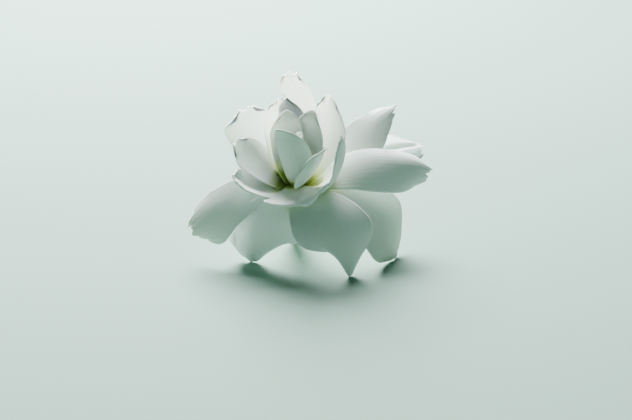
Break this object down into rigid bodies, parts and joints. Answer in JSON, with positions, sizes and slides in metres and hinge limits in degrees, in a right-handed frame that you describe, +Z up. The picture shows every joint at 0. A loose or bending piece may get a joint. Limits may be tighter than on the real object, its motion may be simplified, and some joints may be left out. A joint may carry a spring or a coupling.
{
  "type": "gardenia flower",
  "caption": "Picked double gardenia bloom with waxy white petals in open whorls round a loose cup, on a green calyx and short cut stem, resting tipped on its lower petals.",
  "frame": {"origin": "middle of the part's box, on the surface that the flower rests on", "axes": "+Z up from that surface, +X to the side along the widest spread of the petals, -Y towards the front, where the bloom is tipped and its lowest petals hang"},
  "size_m": [0.0856, 0.0484, 0.0634],
  "materials": {
    "petal_white": "waxy, softly matt",
    "calyx_green": "satin, finely ribbed"
  },
  "bodies": {
    "root": {"corolla": "petal_white", "calyx_and_stem": "calyx_green"}
  },
  "joints": []
}
